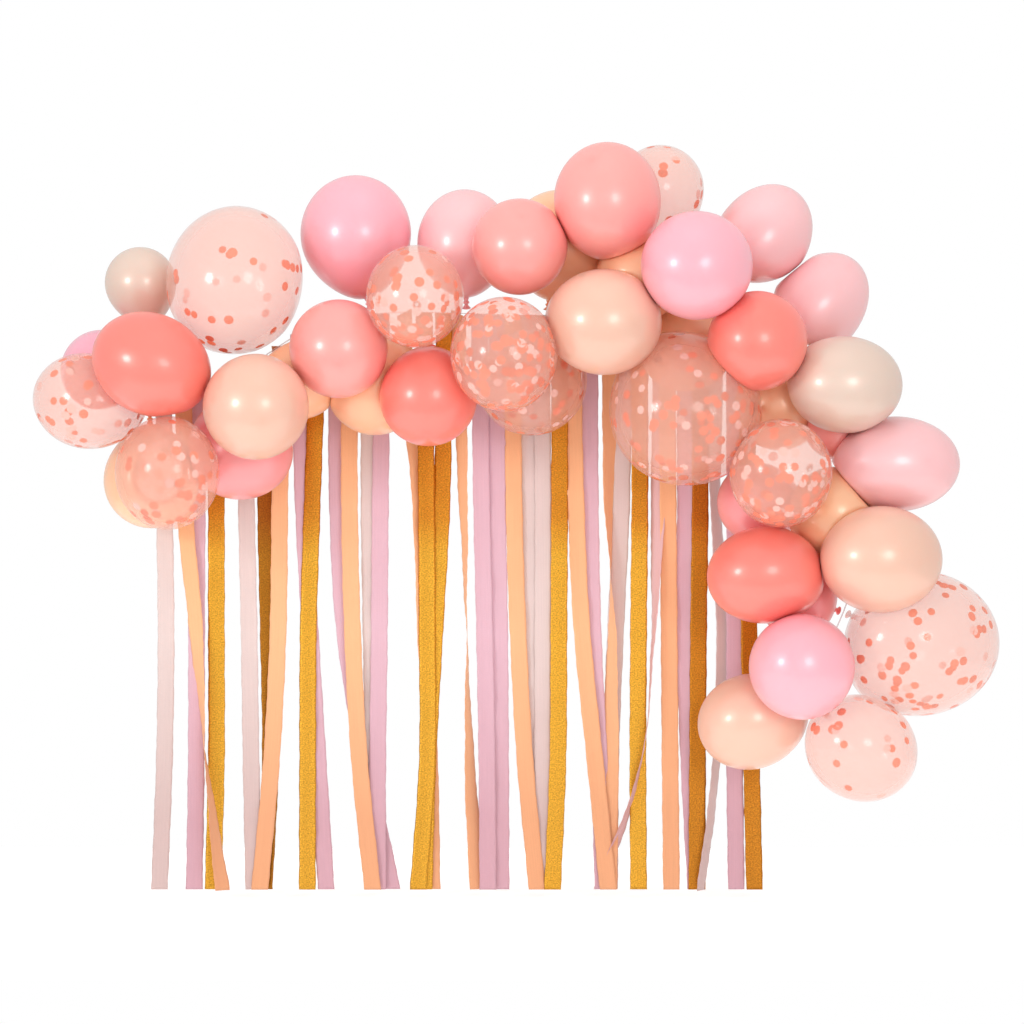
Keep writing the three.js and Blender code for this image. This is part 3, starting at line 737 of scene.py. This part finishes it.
def balloon_mesh(balloon, balloons, sizes):
    skin, outline = balloon.skin(sizes)
    skin = pressed(skin, balloon.contacts(balloons, sizes), sizes.contact_edge)
    rings = len(outline) - 2
    mesh = bpy.data.meshes.new(balloon.name)
    mesh.from_pydata((skin + balloon.middle).tolist(), [], lathe_faces(rings, sizes.balloon_sides))
    heights = np.array([height for _, height in outline])
    widths = np.array([width for width, _ in outline])
    nose = np.clip(1 - widths / (0.30 * balloon.radius), 0, 1) ** 2 * (heights < 0)
    neck = np.clip((heights / balloon.lip - 0.55) / 0.45, 0, 1)
    share = np.maximum(0.3 * nose, neck)
    thickness = np.concatenate(
        [share[:1], np.repeat(share[1:-1], sizes.balloon_sides), share[-1:]]
    )
    mesh.attributes.new("thickness", "FLOAT", "POINT").data.foreach_set("value", thickness)
    facing_out(mesh)
    mesh.shade_smooth()
    return mesh


def check_place(balloon, piece):
    """Stops if a balloon has come away from its solid."""
    low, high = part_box(balloon.name)
    places = np.array([vertex.co for vertex in piece.data.vertices])
    off = max(np.abs(places.min(0) - low).max(), np.abs(places.max(0) - high).max())
    if off > PLACE_TOLERANCE:
        raise RuntimeError(f"{balloon.name} is {off:.3f} m off its solid")


class GARLAND_OT_balloons(bpy.types.Operator):
    """Makes every balloon, tapered to its knot and pressed flat where it meets its neighbours."""

    bl_idname = "garland.balloons"
    bl_label = "Balloons"

    def execute(self, context):
        sizes, colours = context.scene.garland_sizes, context.scene.garland_colours
        places = tape_places()
        balloons = [Balloon(row, places, sizes) for row in BALLOONS]
        for balloon in balloons:
            latex = getattr(colours, balloon.latex)
            if balloon.latex == "clear":
                material = clear_latex_material(latex)
            else:
                material = latex_material(balloon.latex, latex)
            mesh = balloon_mesh(balloon, balloons, sizes)
            piece = finished(
                balloon.name + "_latex", mesh, material, LATEX_SLOTS[balloon.latex], balloon.name
            )
            check_place(balloon, piece)
        return {"FINISHED"}


# ---- Confetti ----
def confetti_tree(peach, pink):
    """Geometry nodes that stick paper discs to the inside of a balloon's skin."""
    tree = bpy.data.node_groups.new("Confetti Scatter", "GeometryNodeTree")
    socket = tree.interface.new_socket
    socket("Geometry", in_out="INPUT", socket_type="NodeSocketGeometry")
    for name, default in (
        ("Discs per Area", 500.0), ("Gathering", 0.8), ("Disc Radius", 0.013), ("Inset", 0.003),
        ("Pink Share", 0.3),
    ):
        socket(name, in_out="INPUT", socket_type="NodeSocketFloat").default_value = default
    socket("Heavy Side", in_out="INPUT", socket_type="NodeSocketVector")
    socket("Seed", in_out="INPUT", socket_type="NodeSocketInt")
    socket("Geometry", in_out="OUTPUT", socket_type="NodeSocketGeometry")
    start = node(tree, "NodeGroupInput", (-1300, 0))
    normal = node(tree, "GeometryNodeInputNormal", (-1300, -300))
    side = node(tree, "ShaderNodeVectorMath", (-1100, -300), operation="DOT_PRODUCT")
    gather = maths(tree, "MULTIPLY_ADD", (-920, -300), {2: 1.0})
    floor = maths(tree, "MAXIMUM", (-740, -300), {1: 0.05})
    thickness = node(
        tree, "GeometryNodeInputNamedAttribute", (-1100, -560), {"Name": "thickness"},
        data_type="FLOAT",
    )
    body = maths(tree, "LESS_THAN", (-920, -560), {1: 0.12})
    kept = maths(tree, "MULTIPLY", (-740, -460))
    density = maths(tree, "MULTIPLY", (-560, -200))
    scatter = node(tree, "GeometryNodeDistributePointsOnFaces", (-360, 0))
    inward = node(tree, "ShaderNodeVectorMath", (-360, -300), operation="SCALE")
    opposite = maths(tree, "MULTIPLY", (-560, -420), {1: -1.0})
    inset = node(tree, "GeometryNodeSetPosition", (-140, 0))
    disc = node(tree, "GeometryNodeMeshCylinder", (-140, -260), {"Vertices": 14, "Depth": 0.0004})
    tilt = node(
        tree, "FunctionNodeRandomValue", (-360, -560),
        {0: (-0.07, -0.07, -3.1), 1: (0.07, 0.07, 3.1)}, data_type="FLOAT_VECTOR",
    )
    turned = node(tree, "FunctionNodeRotateRotation", (-140, -520), rotation_space="LOCAL")
    scale = node(
        tree, "FunctionNodeRandomValue", (-140, -760), {2: 0.82, 3: 1.12}, data_type="FLOAT",
    )
    place = node(tree, "GeometryNodeInstanceOnPoints", (120, 0))
    pick = node(tree, "FunctionNodeRandomValue", (120, -400), data_type="BOOLEAN")
    mark = node(
        tree, "GeometryNodeStoreNamedAttribute", (320, 0), {"Name": "pink"}, data_type="BOOLEAN",
        domain="INSTANCE",
    )
    real = node(tree, "GeometryNodeRealizeInstances", (520, 0))
    marked = node(tree, "GeometryNodeInputNamedAttribute", (520, -300), {"Name": "pink"},
                  data_type="BOOLEAN")
    all_peach = node(tree, "GeometryNodeSetMaterial", (720, 0), {"Material": peach})
    some_pink = node(tree, "GeometryNodeSetMaterial", (920, 0), {"Material": pink})
    end = node(tree, "NodeGroupOutput", (1120, 0))
    connect(
        tree,
        (normal, 0, side, 0), (start, "Heavy Side", side, 1), (side, "Value", gather, 0),
        (start, "Gathering", gather, 1), (gather, 0, floor, 0), (thickness, "Attribute", body, 0),
        (body, 0, kept, 0), (floor, 0, kept, 1), (kept, 0, density, 0),
        (start, "Discs per Area", density, 1), (start, "Geometry", scatter, "Mesh"),
        (density, 0, scatter, "Density"), (start, "Seed", scatter, "Seed"),
        (start, "Inset", opposite, 0), (scatter, "Normal", inward, 0),
        (opposite, 0, inward, "Scale"), (scatter, "Points", inset, "Geometry"),
        (inward, "Vector", inset, "Offset"), (start, "Disc Radius", disc, "Radius"),
        (start, "Seed", tilt, "Seed"), (start, "Seed", scale, "Seed"),
        (start, "Seed", pick, "Seed"), (start, "Pink Share", pick, "Probability"),
        (scatter, "Rotation", turned, "Rotation"), (tilt, "Value", turned, "Rotate By"),
        (inset, "Geometry", place, "Points"), (disc, "Mesh", place, "Instance"),
        (turned, "Rotation", place, "Rotation"), (place, "Instances", mark, "Geometry"),
        (mark, "Geometry", real, "Geometry"), (real, "Geometry", all_peach, "Geometry"),
        (all_peach, "Geometry", some_pink, "Geometry"),
        (marked, "Attribute", some_pink, "Selection"), (some_pink, "Geometry", end, "Geometry"),
    )
    tree.links.new([socket for socket in scale.outputs if socket.enabled][0], place.inputs["Scale"])
    tree.links.new([socket for socket in pick.outputs if socket.enabled][0], mark.inputs["Value"])
    return tree


def modifier_input(tree, name):
    for item in tree.interface.items_tree:
        if item.name == name and item.in_out == "INPUT":
            return item.identifier
    raise KeyError(name)


class GARLAND_OT_confetti(bpy.types.Operator):
    """Sticks tissue discs to the inside of each clear balloon."""

    bl_idname = "garland.confetti"
    bl_label = "Confetti"

    def execute(self, context):
        sizes, colours = context.scene.garland_sizes, context.scene.garland_colours
        tree = confetti_tree(
            tissue_material("peach", colours.confetti_peach),
            tissue_material("pink", colours.confetti_pink),
        )
        for seed, (name, (count, heavy)) in enumerate(CONFETTI.items(), start=3):
            skin = bpy.data.objects[name + "_latex"]
            body = bpy.data.meshes.new_from_object(skin)
            area = sum(face.area for face in body.polygons)
            holder = bpy.data.objects.new(name + "_scatter", body)
            context.scene.collection.objects.link(holder)
            scatter = holder.modifiers.new("Confetti", "NODES")
            scatter.node_group = tree
            for socket, value in (
                ("Discs per Area", count / area), ("Gathering", 1.1), ("Heavy Side", heavy),
                ("Disc Radius", sizes.disc_radius), ("Inset", sizes.disc_inset),
                ("Pink Share", sizes.pink_share), ("Seed", seed),
            ):
                scatter[modifier_input(tree, socket)] = value
            context.view_layer.update()
            discs = bpy.data.meshes.new_from_object(
                holder.evaluated_get(context.evaluated_depsgraph_get())
            )
            bpy.data.objects.remove(holder)
            if not discs.polygons:
                raise RuntimeError(f"{name} has no confetti")
            finished(name.replace("balloon", "confetti"), discs, None, "crepe_peach")
        return {"FINISHED"}


# ---- Streamers ----
def streamer_mesh(row, index, places, sizes):
    """One crepe ribbon from the tape's back edge, over behind the balloons and down."""
    name, _, _, across, depth, turns = row
    depth, turns = np.full(len(across), depth), np.full(len(across), turns)
    top = tape_height(places, across[0])
    route = [
        (across[0], 0.0140, top),
        (across[0], depth[0] * 0.62, top - 0.028),
        (across[0], depth[0], top - 0.120),
    ]
    route += [(across[i + 1], depth[i + 1], height) for i, height in enumerate(STATIONS)]
    rows, columns = sizes.streamer_rows, 8
    places_along, along = spline(route, rows)
    heights = places_along[:, 2]
    turn = np.interp(-heights, [0.12 - top, *(-np.array(STATIONS))], turns)
    tangents = np.gradient(places_along, axis=0)
    tangents /= np.linalg.norm(tangents, axis=1)[:, None]
    flat = np.array((1.0, 0.0, 0.0)) - tangents * tangents[:, :1]
    flat /= np.linalg.norm(flat, axis=1)[:, None]
    normal = np.cross(tangents, flat)
    cos, sin = np.cos(np.radians(turn))[:, None], np.sin(np.radians(turn))[:, None]
    width_way = flat * cos + normal * sin
    face_way = np.cross(tangents, width_way)
    shares = np.linspace(-0.5, 0.5, columns + 1)
    shift = index * 1.7
    ease = np.clip(along / 0.25, 0, 1)
    sway = 0.0012 * np.sin(along * 21 + shift) + 0.0005 * np.sin(along * 53 + 2 * shift)
    cup = 0.0022 * math.sin(shift * 3.1)
    vertices = []
    for share in shares:
        flutter = 0.0007 * (2 * share) ** 2 * np.sin(along * 150 + shift + 5 * share)
        wander = (
            0.0006 * np.sin(along * 41 + shift)
            + 0.0004 * np.sin(along * 97 + 2 * shift)
            + 0.0003 * np.sin(along * 173 + 3 * shift)
        )
        nibble = wander * (abs(share) == 0.5) * np.sign(share)
        lift = ease * (sway + flutter + cup * (4 * share**2 - 0.33))
        ribbon = (
            places_along + width_way * (share * sizes.streamer_width + nibble)[:, None]
            + face_way * lift[:, None]
        )
        ribbon[-1, 2] = STATIONS[-1]
        vertices.append(ribbon)
    grid = np.stack(vertices, axis=1).reshape(-1, 3)
    wide = columns + 1
    faces = [
        (r * wide + c, r * wide + c + 1, (r + 1) * wide + c + 1, (r + 1) * wide + c)
        for r in range(rows) for c in range(columns)
    ]
    mesh = bpy.data.meshes.new(name)
    mesh.from_pydata(grid.tolist(), [], faces)
    paper = mesh.uv_layers.new(name="ribbon")
    spots = [(shares[v % wide] * sizes.streamer_width, along[v // wide] + index * 0.37)
             for face in faces for v in face]
    paper.data.foreach_set("uv", np.array(spots, float).ravel())
    mesh.shade_smooth()
    return mesh, float(along[-1])


class GARLAND_OT_streamers(bpy.types.Operator):
    """Hangs the crepe streamers behind the balloons, all cut level at the bottom."""

    bl_idname = "garland.streamers"
    bl_label = "Streamers"

    def execute(self, context):
        sizes, colours = context.scene.garland_sizes, context.scene.garland_colours
        places = tape_places()
        for index, row in enumerate(STREAMERS):
            name, has_solid, crepe = row[:3]
            paper = getattr(colours, "crepe_" + crepe)
            if "gold" in crepe:
                # The gold's shaded paper is painted shade from the balloons above, and its hem
                # paper is painted shade where its reflection dims low down.
                shaded = (paper[0] * 0.94, paper[1] * 0.83, paper[2] * 0.7)
                hem = tuple(share * 0.94 for share in paper)
                material = crepe_material(
                    crepe, paper, shaded, hem, metallic=0.7, shade_height=-0.71
                )
            else:
                shaded = tuple(share * 0.96 for share in paper)
                hem = (paper[0] * 0.90, paper[1] * 0.86, paper[2] * 0.86)
                material = crepe_material(crepe, paper, shaded, hem)
            mesh, cut = streamer_mesh(row, index, places, sizes)
            solids = (name,) if has_solid else ()
            piece = finished(name + "_crepe", mesh, material, CREPE_SLOTS[crepe], *solids)
            body = piece.modifiers.new("Paper", "SOLIDIFY")
            body.thickness = sizes.streamer_thickness
            body.offset = 0
        return {"FINISHED"}


# ---- Tape ----
class GARLAND_OT_tape(bpy.types.Operator):
    """Gives the carrying tape its clear plastic."""

    bl_idname = "garland.tape"
    bl_label = "Tape"

    def execute(self, context):
        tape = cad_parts["carrying_strip"]
        tape.data.materials.clear()
        tape.data.materials.append(tape_material())
        return {"FINISHED"}


# ---- Studio ----
def soft_light(name, at, aimed_at, across, power):
    light = bpy.data.lights.new(name, "AREA")
    light.shape = "DISK"
    light.size = across
    light.energy = power
    lamp = bpy.data.objects.new(name, light)
    bpy.context.scene.collection.objects.link(lamp)
    lamp.location = at
    lamp.rotation_euler = (Vector(aimed_at) - Vector(at)).to_track_quat("-Z", "Y").to_euler()
    lamp.visible_camera = False
    return lamp


class GARLAND_OT_studio(bpy.types.Operator):
    """Sets up the pale floor, the soft lights, the white surroundings and the camera."""

    bl_idname = "garland.studio"
    bl_label = "Studio"

    def execute(self, context):
        scene = context.scene
        bpy.ops.mesh.primitive_plane_add(size=1, location=(0, 0, 0))
        floor = context.object
        floor.name = "studio_floor"
        middle = (CAD_LOW + CAD_HIGH) / 2
        for vertex in floor.data.vertices:
            vertex.co.x = middle.x + vertex.co.x * 6.0
            vertex.co.y = vertex.co.y * 4.0
            vertex.co.z = CAD_LOW.z - FLOOR_GAP
        material, tree, shader = new_material("studio_floor")
        set_inputs(shader, {
            "Base Color": (0.94, 0.93, 0.92, 1.0), "Roughness": 0.9,
            "Emission Color": (1.0, 1.0, 1.0, 1.0), "Emission Strength": 0.4,
        })
        floor.data.materials.append(material)

        aim = (middle.x, -0.2, -0.45)
        soft_light("key", (aim[0] - 4.9, aim[1] - 4.9, aim[2] + 0.9), aim, 1.5, 98)
        soft_light("fill", (aim[0] + 2.2, aim[1] - 6.6, aim[2] + 0.9), aim, 2.0, 60)
        top = soft_light("top", (aim[0] + 0.2, aim[1] - 1.6, aim[2] + 4.2), aim, 3.0, 60)
        front = soft_light("front", (aim[0], aim[1] - 6.0, aim[2] + 0.4), aim, 4.0, 36)
        for light in (top, front):
            light.visible_glossy = False

        world = bpy.data.worlds.new("studio")
        scene.world = world
        world.use_nodes = True
        tree = world.node_tree
        surround = tree.nodes["Background"]
        set_inputs(surround, {"Color": (1.0, 0.98, 0.97, 1.0), "Strength": 0.75})
        seen = node(tree, "ShaderNodeBackground", (0, -200), {"Strength": 1.0})
        seen.inputs["Color"].default_value = (1.0, 1.0, 1.0, 1.0)
        ray = node(tree, "ShaderNodeLightPath", (-200, 300))
        mix = node(tree, "ShaderNodeMixShader", (250, 0))
        connect(
            tree,
            (ray, "Is Camera Ray", mix, "Fac"), (surround, 0, mix, 1), (seen, 0, mix, 2),
            (mix, 0, tree.nodes["World Output"], "Surface"),
        )

        camera = bpy.data.objects.new("camera", bpy.data.cameras.new("camera"))
        scene.collection.objects.link(camera)
        camera.data.lens = CAMERA_LENS
        camera.data.sensor_width = 36
        camera.location = CAMERA_PLACE
        camera.rotation_euler = (math.pi / 2, 0, 0)
        camera.data.clip_end = 60
        scene.camera = camera
        scene.view_settings.view_transform = "Standard"
        return {"FINISHED"}


# ---- Add-on ----
STEPS = (
    GARLAND_OT_studio, GARLAND_OT_tape, GARLAND_OT_balloons, GARLAND_OT_confetti,
    GARLAND_OT_streamers,
)


class GARLAND_PT_panel(bpy.types.Panel):
    """Lists the garland's sizes, colours and steps."""

    bl_idname = "GARLAND_PT_panel"
    bl_label = "Balloon Garland"
    bl_space_type = "VIEW_3D"
    bl_region_type = "UI"
    bl_category = "Garland"

    def draw(self, context):
        for group in (context.scene.garland_sizes, context.scene.garland_colours):
            for name in type(group).__annotations__:
                self.layout.prop(group, name)
        for step in STEPS:
            self.layout.operator(step.bl_idname)


CLASSES = (GarlandSizes, GarlandColours, *STEPS, GARLAND_PT_panel)


def register():
    for item in CLASSES:
        bpy.utils.register_class(item)
    bpy.types.Scene.garland_sizes = PointerProperty(type=GarlandSizes)
    bpy.types.Scene.garland_colours = PointerProperty(type=GarlandColours)


def unregister():
    del bpy.types.Scene.garland_colours
    del bpy.types.Scene.garland_sizes
    for item in reversed(CLASSES):
        bpy.utils.unregister_class(item)


def main():
    register()
    bpy.ops.garland.studio()
    bpy.ops.garland.tape()
    bpy.ops.garland.balloons()
    bpy.ops.garland.confetti()
    bpy.ops.garland.streamers()


if __name__ == "__main__":
    main()
